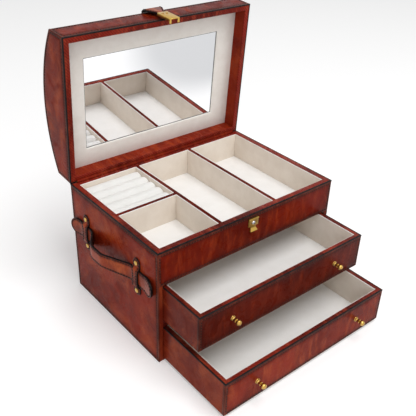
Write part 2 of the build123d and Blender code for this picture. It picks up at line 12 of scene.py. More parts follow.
import bmesh
import bpy
from mathutils import Matrix, Vector

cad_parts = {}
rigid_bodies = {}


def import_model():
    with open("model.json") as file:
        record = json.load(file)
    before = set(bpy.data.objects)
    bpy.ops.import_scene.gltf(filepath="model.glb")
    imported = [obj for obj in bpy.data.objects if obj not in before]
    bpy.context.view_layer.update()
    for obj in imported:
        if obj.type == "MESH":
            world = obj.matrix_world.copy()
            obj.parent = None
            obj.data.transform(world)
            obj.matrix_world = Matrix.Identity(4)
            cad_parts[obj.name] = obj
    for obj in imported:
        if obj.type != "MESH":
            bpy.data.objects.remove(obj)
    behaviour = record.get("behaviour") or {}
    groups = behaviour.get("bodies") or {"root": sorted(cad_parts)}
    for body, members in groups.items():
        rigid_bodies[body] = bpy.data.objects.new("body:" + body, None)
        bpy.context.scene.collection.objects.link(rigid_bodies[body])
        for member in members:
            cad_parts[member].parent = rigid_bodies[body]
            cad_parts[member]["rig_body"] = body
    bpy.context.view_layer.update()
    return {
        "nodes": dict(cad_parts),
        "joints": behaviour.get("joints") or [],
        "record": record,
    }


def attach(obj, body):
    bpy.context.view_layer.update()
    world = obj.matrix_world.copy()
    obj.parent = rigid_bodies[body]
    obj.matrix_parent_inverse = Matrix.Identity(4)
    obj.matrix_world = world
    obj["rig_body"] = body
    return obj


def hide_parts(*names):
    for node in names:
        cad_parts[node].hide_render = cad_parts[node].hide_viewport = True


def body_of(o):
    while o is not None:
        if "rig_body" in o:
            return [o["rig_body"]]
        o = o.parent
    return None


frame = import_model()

mm = 0.001
merge_gap, plane_gap = 1e-6, 1e-7  # metres: two points are one, a point is on a plane
scene = bpy.context.scene
nodes = frame["nodes"]

# %% [markdown]
# ## Where things are
# Every place is read from the CAD frame, in metres. The lid stands open, at an
# angle that is awkward to draw at. So its pieces are drawn as if it were shut, and
# then turned open about the hinge.

# %% The lid's hinge and the box of a node
lid_joint = next(joint for joint in frame["joints"] if joint["name"] == "lid_hinge")
hinge_point = Vector(lid_joint["pos_m"])
lid_angle = math.radians(lid_joint["range_deg"][1])
open_lid = (Matrix.Translation(hinge_point) @ Matrix.Rotation(-lid_angle, 4, "X")
            @ Matrix.Translation(-hinge_point))
shut_lid = open_lid.inverted()


def box_around(points):
    """The lowest and highest corner of some points."""
    low = Vector([min(point[axis] for point in points) for axis in range(3)])
    high = Vector([max(point[axis] for point in points) for axis in range(3)])
    return low, high


def points_of(*names, shut=False):
    """The points of some CAD nodes, with the lid shut if asked."""
    turn = shut_lid if shut else Matrix.Identity(4)
    return [turn @ vert.co for name in names for vert in nodes[name].data.vertices]


def box_of(*names, shut=False):
    """The lowest and highest corner of some CAD nodes."""
    return box_around(points_of(*names, shut=shut))


half_w, half_d, case_top = box_of("tray_rim_cap")[1]
print(f"case {half_w * 2 / mm:.0f} x {half_d * 2 / mm:.0f} x {case_top / mm:.0f} mm")
print(f"the lid opens {math.degrees(lid_angle):.0f} degrees")

# %% [markdown]
# ## Workbench copies
# Some pieces start from a CAD mesh, which is loose triangles. So a copy of it is
# merged, and its flat triangles joined into whole faces, before an edge can be
# rounded. A node of several like pieces is taken apart into islands: groups of
# vertices joined by edges.

# %% Copies and islands
flat_limit = math.radians(1.5)


def loose_copy(name, shut=False):
    """A bmesh of a CAD node, merged, with flat faces joined."""
    bm = bmesh.new()
    bm.from_mesh(nodes[name].data)
    bmesh.ops.remove_doubles(bm, verts=bm.verts, dist=merge_gap)
    bmesh.ops.dissolve_limit(bm, angle_limit=flat_limit, verts=bm.verts, edges=bm.edges)
    if shut:
        bmesh.ops.transform(bm, matrix=shut_lid, verts=bm.verts)
    bm.normal_update()
    return bm


def island_boxes(name):
    """The box of each separate solid in a CAD node, from left to right."""
    bm = loose_copy(name)
    left, boxes = set(bm.verts), []
    while left:
        island, waiting = [], [left.pop()]
        while waiting:
            vert = waiting.pop()
            island.append(vert.co.copy())
            near = {edge.other_vert(vert) for edge in vert.link_edges} & left
            left -= near
            waiting.extend(near)
        boxes.append(box_around(island))
    bm.free()
    return sorted(boxes, key=lambda box: [round(value, 4) for value in box[0]])


print("loose_copy and island_boxes are ready")

# %% [markdown]
# ## Putting a piece in the scene
# A finished bmesh becomes an object that rides on one body of the frame, and so
# moves with it. Smooth shading with a limit angle keeps rolled edges soft and cut
# edges crisp.

# %% Finished pieces
sharp_usual, sharp_turned, sharp_thread = 38, 60, 80  # edges that turn by more degrees stay crisp
finishes = {}  # every material, by its name


def mesh_of(bm, name):
    """Turns a bmesh into a mesh."""
    mesh = bpy.data.meshes.new(name)
    bm.to_mesh(mesh)
    bm.free()
    return mesh


def new_object(name, data):
    """Puts an object with a mesh, a lamp or a lens in the scene."""
    made = bpy.data.objects.new(name, data)
    scene.collection.objects.link(made)
    return made


def add_piece(name, bm, body, finish, hides=(), smooth=sharp_usual, shut=False):
    """Makes an object of a bmesh, gives it its finish and lets it ride on a body."""
    if shut:
        bmesh.ops.transform(bm, matrix=open_lid, verts=bm.verts)
    bmesh.ops.recalc_face_normals(bm, faces=bm.faces)
    mesh = mesh_of(bm, name)
    mesh.shade_smooth()
    mesh.set_sharp_from_angle(angle=math.radians(smooth))
    piece = new_object(name, mesh)
    for material in finish if isinstance(finish, list) else [finish]:
        mesh.materials.append(finishes[material])
    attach(piece, body)
    if hides:
        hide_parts(*hides)
    print(f"{name}: {len(mesh.polygons)} faces on {body}")
    return piece


def merge(into, part):
    """Adds one bmesh to another."""
    mesh = mesh_of(part, "part")
    into.from_mesh(mesh)
    bpy.data.meshes.remove(mesh)


def moved(bm, place):
    """Moves a whole bmesh to its place and gives it back."""
    bmesh.ops.transform(bm, matrix=place, verts=bm.verts)
    return bm


def facing(centre, right=(1, 0, 0), up=(0, 0, 1)):
    """Where a panel goes: its middle, its rightward way and its upward way."""
    outward = Vector(right).cross(Vector(up))
    turn = Matrix((Vector(right), Vector(up), outward)).transposed().to_4x4()
    return Matrix.Translation(Vector(centre)) @ turn


print("the helpers for pieces are ready")

# %% [markdown]
# ## Node helpers
# A material is a net of nodes. These helpers keep each recipe short. A group is a
# small recipe with named inputs and outputs that several materials share.


# %% Node helpers
def node(tree, kind, inputs=None, **settings):
    """Adds a node, with its settings and its input values or links."""
    made = tree.nodes.new("ShaderNode" + kind)
    for name, value in settings.items():
        setattr(made, name, value)
    for key, value in (inputs or {}).items():
        if isinstance(value, bpy.types.NodeSocket):
            tree.links.new(value, made.inputs[key])
        elif isinstance(value, tuple) and made.inputs[key].type == "RGBA":
            made.inputs[key].default_value = (*value[:3], 1)
        else:
            made.inputs[key].default_value = value
    return made


def new_group(name, inputs, outputs):
    """A shader group with named sockets. Returns it with its two end nodes."""
    tree = bpy.data.node_groups.new(name, "ShaderNodeTree")
    for sockets, way in ((inputs, "INPUT"), (outputs, "OUTPUT")):
        for label, kind in sockets.items():
            tree.interface.new_socket(label, in_out=way, socket_type="NodeSocket" + kind)
    return tree, tree.nodes.new("NodeGroupInput"), tree.nodes.new("NodeGroupOutput")


def new_material(name):
    """A new finish: its node tree, its Principled shader and its object coordinates."""
    finishes[name] = bpy.data.materials.new(name)
    finishes[name].use_nodes = True
    tree = finishes[name].node_tree
    return tree, tree.nodes["Principled BSDF"], node(tree, "TexCoord").outputs["Object"]


def plain_values(shader, **values):
    """Sets some of a shader's inputs. An underscore stands for a space in their names."""
    for key, value in values.items():
        shader.inputs[key.replace("_", " ")].default_value = value


def dress(tree, shader, tone, roughness, height, bump, distance):
    """Gives a shader its colour, its roughness and its relief."""
    raised = node(tree, "Bump", {"Height": height, "Strength": bump, "Distance": distance})
    for socket, name in ((tone, "Base Color"), (roughness, "Roughness"), (raised.outputs[0], "Normal")):
        tree.links.new(socket, shader.inputs[name])


def mix_colour(tree, amount, first, second):
    """Mixes two colours. The node has several sockets of one name, so they go by number."""
    return node(tree, "Mix", {0: amount, 6: first, 7: second}, data_type="RGBA").outputs[2]


def maths(tree, operation, first, second=0.0, clamp=False):
    """One sum on two values."""
    return node(tree, "Math", {0: first, 1: second}, operation=operation, use_clamp=clamp).outputs[0]


def ramp(tree, value, low, high, top=1.0):
    """Spreads the values between low and high over 0 to the top value."""
    inputs = {"Value": value, "From Min": low, "From Max": high, "To Max": top}
    return node(tree, "MapRange", inputs, interpolation_type="SMOOTHSTEP").outputs[0]


def noise(tree, place, scale, detail=4.0, rough=0.6, twist=0.0):
    """A noise pattern's value."""
    inputs = {"Vector": place, "Scale": scale, "Detail": detail, "Roughness": rough, "Distortion": twist}
    return node(tree, "TexNoise", inputs).outputs["Fac"]


print("node helpers are ready")

# %% [markdown]
# ## The look of glazed hide
# Vegetable-tanned hide takes dye unevenly: broad clouds of dark and light, fine
# slanting streaks where the dye was wiped on, and small darker pools. On top lies
# a fine grain. Noises at several scales give the clouds, streaks and pools. A much
# finer one gives the grain as a height for the Bump node. Where an edge was rubbed
# with wax the hide is darker, and an attribute called burnish says where.

# %% Hide group
cloud_scale, streak_scale, pool_scale, pore_scale, grain_scale = 11.0, 1.5, 55.0, 520.0, 900.0
wiping_turn, wiping_stretch = (0.75, 0.75, 0.6), (70, 16, 16)
hide_group, come, go = new_group(
    "glazed_hide",
    {"Place": "Vector", "Colour": "Color", "Dark": "Color", "Light": "Color", "Burnish": "Float"},
    {"Colour": "Color", "Roughness": "Float", "Height": "Float"})
tree = hide_group
place, dark = come.outputs["Place"], come.outputs["Dark"]
wiping = {"Vector": place, "Rotation": wiping_turn, "Scale": wiping_stretch}
wiped = node(tree, "Mapping", wiping).outputs[0]
clouds = noise(tree, place, cloud_scale, twist=0.5)
streaks = noise(tree, wiped, streak_scale, detail=6.0, rough=0.68, twist=0.5)
pools = noise(tree, place, pool_scale, rough=0.66, twist=1.0)
base = come.outputs["Colour"]
for pattern, low, high, most, tone in ((clouds, 0.38, 0.66, 0.75, dark),
                                       (streaks, 0.45, 0.72, 0.85, come.outputs["Light"]),
                                       (pools, 0.56, 0.74, 0.4, dark)):
    base = mix_colour(tree, ramp(tree, pattern, low, high, most), base, tone)
worn = maths(tree, "MULTIPLY", come.outputs["Burnish"], ramp(tree, pools, low=0.2, high=0.6, top=0.9))
base = mix_colour(tree, worn, base, dark)
tree.links.new(base, go.inputs["Colour"])
tree.links.new(ramp(tree, pools, low=0.2, high=0.9, top=0.5), go.inputs["Roughness"])
pores = node(tree, "TexVoronoi", {"Vector": place, "Scale": pore_scale}).outputs["Distance"]
grain = maths(tree, "ADD", noise(tree, place, grain_scale), pores)
tree.links.new(grain, go.inputs["Height"])
print("glazed_hide group ready")

# %% [markdown]
# ## Dyes
# Each dye has its main colour, and the darkest and lightest colour it turns to. The
# upper drawer's and the case front's darker dyes are partly painted shade.
# Leather that is pulled tight over a rim or a divider gets fine slanting creases.
# A wave pattern gives those as relief, and darkens their hollows as painted shade.

# %% Hide materials
crease_scale, crease_twist, crease_detail = 150.0, 2.5, 2.0
grain_height, glaze_ior = 0.0004, 1.3


def hide_material(name, colour, dark, light, bump=0.1, ribs=0.0, burnish=False, rough=0.12, gloss=0.11):
    """Glazed hide in one dye. Ribs are the fine slanting creases of a stretched rim, raised as relief and
    darkened in their hollows as painted shade.
    """
    tree, shader, place = new_material(name)
    group = node(tree, "Group", {"Place": place, "Colour": colour, "Dark": dark, "Light": light},
                 node_tree=hide_group)
    if burnish:
        worn = node(tree, "Attribute", attribute_name="burnish").outputs["Fac"]
        tree.links.new(worn, group.inputs["Burnish"])
    tone, height = group.outputs["Colour"], group.outputs["Height"]
    if ribs:
        wave = {"Vector": place, "Scale": crease_scale, "Distortion": crease_twist, "Detail": crease_detail}
        creases = node(tree, "TexWave", wave, wave_type="BANDS", bands_direction="DIAGONAL").outputs["Fac"]
        height = maths(tree, "ADD", maths(tree, "MULTIPLY", creases, ribs), height)
        # painted shade: the hollows of the creases are darkened
        tone = mix_colour(tree, ramp(tree, creases, low=0.5, high=0.0, top=0.5), tone, dark)
    dull = maths(tree, "ADD", group.outputs["Roughness"], rough)
    dress(tree, shader, tone, dull, height, bump, grain_height)
    plain_values(shader, Specular_IOR_Level=gloss, IOR=glaze_ior)


waxed = {"burnish": True}
# deep_hide on the upper drawer and red_hide on the case front are darker than warm_hide partly as other hides
# and partly as painted shade.
dyes_and_painted_shade = (
    ("warm_hide", (0.24, 0.019, 0.005), (0.1, 0.006, 0.002), (0.35, 0.058, 0.015), waxed),
    ("red_hide", (0.18, 0.012, 0.004), (0.075, 0.005, 0.002), (0.3, 0.038, 0.01), waxed),
    ("deep_hide", (0.115, 0.01, 0.004), (0.045, 0.004, 0.002), (0.2, 0.026, 0.009), waxed),
    ("rim_hide", (0.24, 0.017, 0.008), (0.03, 0.003, 0.002), (0.38, 0.055, 0.025),
     {"ribs": 1.6, "bump": 0.4, "gloss": 0.15}),
    ("band_hide", (0.105, 0.02, 0.011), (0.035, 0.007, 0.005), (0.2, 0.045, 0.026), {"bump": 0.2}),
    ("divider_hide", (0.16, 0.014, 0.007), (0.05, 0.005, 0.003), (0.26, 0.036, 0.018),
     {"ribs": 0.6, "bump": 0.2}),
    ("strap_hide", (0.36, 0.047, 0.011), (0.075, 0.008, 0.003), (0.48, 0.105, 0.026),
     {"burnish": True, "gloss": 0.3}),
    ("case_plain", (0.2, 0.023, 0.008), (0.09, 0.008, 0.004), (0.3, 0.055, 0.018), {}),
    ("facing_hide", (0.23, 0.02, 0.006), (0.12, 0.009, 0.004), (0.36, 0.05, 0.012), {"rough": 0.05}))
for name, *tones, more in dyes_and_painted_shade:
    hide_material(name, *tones, **more)
print("hides:", ", ".join(finishes))

# %% [markdown]
# ## Speckled finishes
# The other finishes are simpler: two close tones mixed by one noise, which also
# varies the gloss and raises a little relief. A cut edge is rubbed with wax and dye
# until it shines like horn. Thread is waxed and as dark, but duller. Suede is pale
# and very rough, with a sheen. Brass is a metal with a yellow base colour.

# %% Speckle group
speck_height = 0.0003
speckle_group, come, go = new_group(
    "speckle", {"Place": "Vector", "Scale": "Float", "First": "Color", "Second": "Color"},
    {"Colour": "Color", "Value": "Float"})
tree = speckle_group
specks = noise(tree, come.outputs["Place"], come.outputs["Scale"])
share = ramp(tree, specks, low=0.3, high=0.7)
tree.links.new(mix_colour(tree, share, come.outputs["First"], come.outputs["Second"]), go.inputs["Colour"])
tree.links.new(specks, go.inputs["Value"])


def speckled_material(name, first, second, scale, rough, spread=0.15, bump=0.2, grain=None, brushed=None,
                      **plain):
    """Two tones in specks. Grain is a second, finer scale for the relief alone."""
    tree, shader, place = new_material(name)
    if brushed:
        place = node(tree, "Mapping", {"Vector": place, "Scale": brushed}).outputs[0]
    inputs = {"Place": place, "Scale": scale, "First": first, "Second": second}
    speck = node(tree, "Group", inputs, node_tree=speckle_group).outputs
    varied = maths(tree, "ADD", maths(tree, "MULTIPLY", speck["Value"], spread), rough - spread / 2)
    height = noise(tree, place, grain) if grain else speck["Value"]
    dress(tree, shader, speck["Colour"], varied, height, bump, speck_height)
    plain_values(shader, **plain)


print("speckle group ready")

# %% [markdown]
# ## The plain finishes
# A row gives two tones, the scale of the specks and the roughness. The suedes have
# a finer grain for their nap. Brushed brass has its specks stretched into lines.

# %% Edges, thread, suede, metals and board
nap = {"spread": 0.0, "bump": 0.3, "grain": 1500.0}
plain_rows = (
    ("burnished_edge", (0.005, 0.004, 0.005), (0.018, 0.01, 0.009), 160.0, 0.28,
     {"Specular_IOR_Level": 0.1}),
    ("waxed_thread", (0.002, 0.0015, 0.0015), (0.006, 0.004, 0.004), 1400.0, 0.55,
     {"Specular_IOR_Level": 0.15}),
    ("seam_groove", (0.085, 0.015, 0.008), (0.13, 0.026, 0.013), 300.0, 0.6, {"Specular_IOR_Level": 0.1}),
    # The wall suede is darker than the floor suede: painted shade.
    ("suede_wall", (0.8, 0.72, 0.631), (0.744, 0.657, 0.566), 45.0, 0.95, {**nap, "Sheen_Weight": 0.15}),
    ("suede_floor", (0.895, 0.885, 0.87), (0.865, 0.853, 0.832), 60.0, 0.95, {**nap, "Sheen_Weight": 0.1}),
    ("frame_suede", (0.86, 0.825, 0.775), (0.81, 0.77, 0.715), 60.0, 0.9, {**nap, "Sheen_Weight": 0.1}),
    ("roll_plush", (0.81, 0.8, 0.778), (0.773, 0.764, 0.737), 60.0, 0.95,
     {**nap, "bump": 0.4, "grain": 1200.0, "Sheen_Weight": 0.3}),
    ("base_felt", (0.03, 0.014, 0.01), (0.055, 0.028, 0.02), 500.0, 0.95, {"spread": 0.0, "bump": 0.5}),
    ("fibreboard", (0.3, 0.2, 0.12), (0.42, 0.31, 0.2), 260.0, 0.85, {}),
    ("polished_brass", (0.6, 0.38, 0.11), (0.42, 0.25, 0.06), 140.0, 0.22, {"bump": 0.08, "Metallic": 1.0}),
    ("brushed_brass", (0.66, 0.43, 0.1), (0.45, 0.27, 0.06), 700.0, 0.3,
     {"bump": 0.1, "brushed": (6.0, 0.4, 0.4), "Metallic": 1.0}),
    ("bright_steel", (0.66, 0.66, 0.68), (0.5, 0.5, 0.52), 140.0, 0.24, {"bump": 0.08, "Metallic": 1.0}),
    # a dark border on the glass: painted reflection of the mirror frame's thickness
    ("glass_edge", (0.16, 0.165, 0.165), (0.22, 0.225, 0.22), 90.0, 0.25, {}))
for name, first, second, scale, rough, more in plain_rows:
    speckled_material(name, first, second, scale, rough, **more)
print(f"{len(finishes)} finishes so far")

# %% [markdown]
# ## The mirror
# A mirror is a metal with almost no roughness. Its tone falls off towards its upper
# right corner: painted shade on its reflection, standing in for a dim studio.

# %% Silvered glass
clear_tone, reflection_shade_tone, reflection_shade_full_at = (0.93, 0.93, 0.94), (0.6, 0.605, 0.62), 0.55
tree, shader, place = new_material("silvered_glass")
glass_low, glass_high = box_of("mirror_glass")
parts = node(tree, "SeparateXYZ", {"Vector": place}).outputs
rightward = ramp(tree, parts["X"], glass_low.x, glass_high.x)
upward = ramp(tree, parts["Z"], glass_low.z, glass_high.z)
# painted shade: the reflection darkens towards the upper right corner
painted_reflection_shade = ramp(tree, maths(tree, "MULTIPLY", rightward, upward), low=0.0, high=reflection_shade_full_at)
tree.links.new(mix_colour(tree, painted_reflection_shade, clear_tone, reflection_shade_tone), shader.inputs["Base Color"])
plain_values(shader, Metallic=1.0, Roughness=0.015)
print("silvered_glass ready")

# %% [markdown]
# ## Dress the CAD nodes
# Hard parts keep their CAD shape and only get a finish: boards, hinge leaves,
# screws and the plain leather covers that lie under the stitched panels.

# %% Finishes for CAD nodes
plain_finish = {
    "leather_cover": "case_plain", "leather_rim": "facing_hide", "leather_strap": "strap_hide",
    "suede": "suede_wall", "cushion": "roll_plush", "board": "fibreboard", "pad": "base_felt",
    "brass": "polished_brass", "steel": "bright_steel", "mirror": "silvered_glass"}
slot_of = {entry["node"]: entry["material_slot"] for entry in frame["record"]["subparts"]}
own_finish = {"drawer_bay_edging": "divider_hide", "hinge_case_roll": "red_hide",
              "hinge_lid_roll": "red_hide"}
for name, cad_piece in nodes.items():
    cad_piece.data.materials.clear()
    cad_piece.data.materials.append(finishes[own_finish.get(name, plain_finish[slot_of[name]])])
print(f"{len(nodes)} CAD nodes have a finish")

# %% [markdown]
# ## Panels with rolled edges and stitching
# Each outside panel is made the same way. The outline is one flat face. Insetting
# it gives the border, which is extruded and bevelled into a rolled band. The face
# inside is inset again, a little higher each time, into a softly raised hide that
# is darker at its border. A dark groove between the two carries the stitches.


# %% Flat outlines and borders
def rectangle(width, height):
    """A rectangular face about its middle, in the XY plane."""
    bm = bmesh.new()
    bmesh.ops.create_grid(bm, x_segments=1, y_segments=1, size=0.5)
    bmesh.ops.scale(bm, vec=(width, height, 1), verts=bm.verts)
    return bm


def inset(bm, faces, distance, rise=0.0):
    """Insets some faces as one and returns the faces of the border it leaves."""
    made = bmesh.ops.inset_region(bm, faces=faces, thickness=distance, depth=rise,
                                  use_boundary=True, use_even_offset=True)
    return made["faces"]


def round_edges(bm, edges, width, segments, clamp=True):
    """Rounds some edges and returns the faces that this makes."""
    made = bmesh.ops.bevel(bm, geom=edges, offset=width, offset_type="OFFSET", segments=segments,
                           profile=0.5, affect="EDGES", material=-1, clamp_overlap=clamp)
    return made["faces"]


def drawn_in(outline, distance):
    """An outline's face, made smaller by a distance on every side."""
    bm = outline()
    middle = bm.faces[:][0]
    if distance > 0:
        bmesh.ops.delete(bm, geom=inset(bm, [middle], distance), context="FACES")
    return bm


def verts_in(geometry):
    """The vertices among what an operator made."""
    return [item for item in geometry if isinstance(item, bmesh.types.BMVert)]


def cut_across(bm, spot, way):
    """Cuts edges and faces along a plane."""
    bmesh.ops.bisect_plane(bm, geom=bm.verts[:] + bm.edges[:] + bm.faces[:], dist=plane_gap,
                           plane_co=spot, plane_no=way)


def spot_of(vert):
    """Where a vertex lies in the flat, rounded so that two spots can be compared."""
    return round(vert.co.x, 6), round(vert.co.y, 6)


def border(outline, start, width, low, high, outer_round=0, inner_round=0, segments=3):
    """A solid strip that follows an outline: it starts some way in and has round edges."""
    bm = drawn_in(outline, start)
    middle = bm.faces[:][0]
    outside = {spot_of(vert) for vert in middle.verts}
    strip = inset(bm, [middle], width)
    bmesh.ops.delete(bm, geom=[middle], context="FACES_ONLY")
    inside = {spot_of(vert) for vert in bm.verts} - outside
    top = set(verts_in(bmesh.ops.extrude_face_region(bm, geom=strip)["geom"]))
    for vert in bm.verts:
        vert.co.z = high if vert in top else low
    for ring, amount in ((outside, outer_round), (inside, inner_round)):
        if amount:
            brink = {vert for vert in bm.verts if abs(vert.co.z - high) < plane_gap and spot_of(vert) in ring}
            edges = [edge for edge in bm.edges if brink.issuperset(edge.verts)]
            round_edges(bm, edges, amount, segments)
    return bm


print("outlines and borders are ready")

# %% [markdown]
# ## Raised hide
# The hide lies over thin padding, so it swells a little from its seam to its
# middle. A few insets make the swell, and carry the burnish, which fades inward.
# A skirt goes down into the board, so that the piece is closed.

# %% Raised hide
# How far each step goes in (mm), its share of the rise, and its burnish.
swell_steps = ((0.8, 0.55, 1.0), (2.2, 0.3, 0.55), (4.0, 0.12, 0.2), (5.0, 0.03, 0.0))
swell_width = sum(step[0] for step in swell_steps) * mm
swell_share = 0.4  # the steps take up at most this much of a narrow panel
hide_rise, hide_skirt = 0.5 * mm, 0.7 * mm


def open_edges(bm):
    """The edges that belong to one face only."""
    return [edge for edge in bm.edges if edge.is_boundary]


def add_skirt(bm, foot):
    """Closes an open sheet: its edge is drawn down to a height, and one face closes the foot."""
    for vert in verts_in(bmesh.ops.extrude_edge_only(bm, edges=open_edges(bm))["geom"]):
        vert.co.z = foot
    bmesh.ops.holes_fill(bm, edges=open_edges(bm), sides=0)


def raised_hide(outline, start):
    """The hide inside a border: lifted in steps from its edge, with its burnish as an attribute."""
    bm = drawn_in(outline, start)
    burnish = bm.verts.layers.float.new("burnish")
    middle = bm.faces[:][0]
    for vert in bm.verts:
        vert[burnish] = 1.0
    low, high = box_around([vert.co for vert in middle.verts])
    fit = min(1, swell_share * min(high.x - low.x, high.y - low.y) / swell_width)
    for distance, share, worn in swell_steps:
        inset(bm, [middle], distance * fit * mm, hide_rise * share)
        for vert in middle.verts:
            vert[burnish] = worn
    add_skirt(bm, -hide_skirt)
    return bm


print("raised_hide is ready")

# %% [markdown]
# ## Stitches
# A hand stitch is a short bar of waxed thread that dips into its holes at both
# ends and lies slightly aslant. A small sphere, stretched along the seam and
# flattened, looks like one. They are spaced evenly along each run of the seam.

# %% Stitch helpers
stitch_pitch, stitch_length, stitch_width, stitch_height = 4.4 * mm, 3.0 * mm, 1.8 * mm, 0.85 * mm
stitch_lift, stitch_slant = 0.32 * mm, math.radians(9)
corner_turn = 0.35  # where a seam turns by more than this, in radians, a new run starts
batch = 16  # stitches are made this many at a time, because a small mesh grows faster


def seam_runs(outline, start):
    """The seam's corner-to-corner runs, as lists of points."""
    bm = drawn_in(outline, start)
    points = [loop.vert.co.copy() for loop in bm.faces[:][0].loops]
    bm.free()
    turns = zip([points[-1], *points], points, [*points[1:], points[0]])
    corners = [number for number, (before, here, after) in enumerate(turns)
               if (here - before).angle(after - here) > corner_turn]
    ends = [*corners[1:], corners[0] + len(points)]
    return [(points * 2)[first:end + 1] for first, end in zip(corners, ends)]


def sew(bm, run, normals=None, margin=0.6):
    """Stitches along one run of points. The margin at its ends is in stitches."""
    stretches = list(zip(run, run[1:], normals or [Vector((0, 0, 1))] * len(run)))
    total = sum((end - start).length for start, end, normal in stretches)
    number = max(int(total / stitch_pitch - margin * 2), 0)
    first = (total - number * stitch_pitch) / 2
    size = Matrix.Diagonal((stitch_length / 2, stitch_width / 2, stitch_height / 2, 1))
    slant, lying = Matrix.Rotation(stitch_slant, 4, "Z"), Matrix.Rotation(math.pi / 2, 4, "Y")
    some = bmesh.new()
    for index in range(number + 1):
        along = first + index * stitch_pitch
        for start, end, normal in stretches:
            if along <= (end - start).length:
                break
            along -= (end - start).length
        run_way = (end - start).normalized()
        side_way = normal.cross(run_way).normalized()
        turn = Matrix((run_way, side_way, normal)).transposed().to_4x4()
        at = Matrix.Translation(start + run_way * min(along, (end - start).length) + normal * stitch_lift)
        bmesh.ops.create_uvsphere(some, u_segments=6, v_segments=4, radius=1.0,
                                  matrix=at @ turn @ slant @ size @ lying)
        if index % batch == batch - 1:
            merge(bm, some)
            some = bmesh.new()
    merge(bm, some)


print("seam_runs and sew are ready")

# %% [markdown]
# ## One stitched panel
# A panel is four pieces with one outline: rolled band, groove, raised hide and
# thread. Kept apart, each has its own finish and can be bent on its own.

# %% Stitched panels
seam_width, seam_lap = 1.1 * mm, 0.3 * mm
hide_lift = 0.04 * mm


def stitched_panel(name, outline, place, body, hide, band=3.0 * mm, proud=0.42 * mm, shut=False, bend=None):
    """One covered side of the chest: band, groove, raised hide and stitches."""
    rolled = border(outline, 0, band, low=-1.2 * mm, high=proud, outer_round=1.0 * mm, inner_round=0.3 * mm)
    groove = border(outline, band - seam_lap, seam_width + seam_lap * 2, low=-0.6 * mm, high=0.22 * mm)
    swollen = moved(raised_hide(outline, band + seam_width), Matrix.Translation((0, 0, hide_lift)))
    thread = bmesh.new()
    for run in seam_runs(outline, band + seam_width / 2):
        sew(thread, run)
    for kind, bm, finish in (("_band", rolled, "band_hide"), ("_groove", groove, "seam_groove"),
                             ("_hide", swollen, hide), ("_stitches", thread, "waxed_thread")):
        if bend:
            bend(bm, cut=bm is not thread)
        add_piece(name + kind, moved(bm, place), body, finish, shut=shut,
                  smooth=sharp_thread if bm is thread else sharp_usual)


def upright_panel(name, centre, right, width, low, high, *rest, **more):
    """A stitched rectangle that stands between two heights. Its centre is given from above."""
    stitched_panel(name, lambda: rectangle(width, high - low), facing((*centre, (low + high) / 2), right),
                   *rest, **more)


print("stitched_panel and upright_panel are ready")

# %% [markdown]
# ## The case's panels
# The sides and the back run the full height. The front is only the strip over the
# drawers. Every panel stops a little below the rim, where the dark rolled edge
# begins. The back stops lower, below the hinge.

# %% Case panels
bead_width, bead_drop, hinge_drop = 2.1 * mm, 1.5 * mm, 3.7 * mm
roll = 0.4 * mm  # how far leather stands out over a corner
side_width, front_width = half_d * 2 + roll * 2, half_w * 2 + roll * 1.8
foot = box_of("case_cover_right")[0].z
front_low = box_of("case_cover_front")[0].z
rim_line = case_top - bead_drop
# The front's darker red_hide is partly painted shade.
for name, centre, right, width, low, high, hide in (
        ("case_right", (half_w, 0), (0, 1, 0), side_width, foot, rim_line, "warm_hide"),
        ("case_left", (-half_w, 0), (0, -1, 0), side_width, foot, rim_line, "warm_hide"),
        ("case_back", (0, half_d), (-1, 0, 0), front_width, foot, case_top - hinge_drop, "warm_hide"),
        ("case_front", (0, -half_d), (1, 0, 0), front_width, front_low, rim_line, "red_hide")):
    upright_panel(name, centre, right, width, low, high, "case", hide)

# %% [markdown]
# ## Rims
# On every rim lie two rings: outside, the burnished rolled edge; inside it, a band
# of stretched red hide with fine slanting creases. On the case and the lid the
# rings are cut away where the hinge lies. The cut is made with planes, and each
# cut end is closed with one face.


# %% Rim rings
def cut_gap(bm, half_length, beyond_y):
    """Takes out the stretch of a ring where the hinge lies, and closes the cut ends."""
    cuts = [(Vector((side * half_length, 0, 0)), Vector((side, 0, 0))) for side in (-1, 1)]
    cuts.append((Vector((0, beyond_y, 0)), Vector((0, 1, 0))))
    for spot, way in cuts:
        cut_across(bm, spot, way)
    spare = [face for face in bm.faces if abs(face.calc_center_median().x) < half_length
             and face.calc_center_median().y > beyond_y]
    bmesh.ops.delete(bm, geom=spare, context="FACES")
    for side in (-1, 1):
        corner = Vector((side * half_length, beyond_y))
        pair = [vert for vert in bm.verts if (vert.co.xy - corner).length < merge_gap]
        if len(pair) == 2:
            bm.edges.new(pair)
    for spot, way in cuts:
        rim = [edge for edge in bm.edges if (edge.is_boundary or edge.is_wire)
               and all(abs((vert.co - spot).dot(way)) < merge_gap for vert in edge.verts)]
        if rim:
            bmesh.ops.contextual_create(bm, geom=rim)


def rim_rings(name, size, place, body, width, shut=False, gap=None):
    """The burnished edge and the red band on a rim. The gap is where the hinge lies."""
    inner = bead_width + 0.2 * mm
    edge = border(lambda: rectangle(*size), 0, bead_width, low=-bead_drop, high=0.28 * mm,
                  outer_round=bead_width * 0.42, inner_round=bead_width * 0.24, segments=4)
    red = border(lambda: rectangle(*size), inner, width - inner, low=-0.8 * mm, high=0.2 * mm,
                 outer_round=0.4 * mm, inner_round=0.7 * mm)
    for part, kind, finish in ((edge, "_edge", "burnished_edge"), (red, "_band", "rim_hide")):
        moved(part, place)
        if gap:
            cut_gap(part, *gap)
        add_piece(name + kind, part, body, finish, shut=shut)


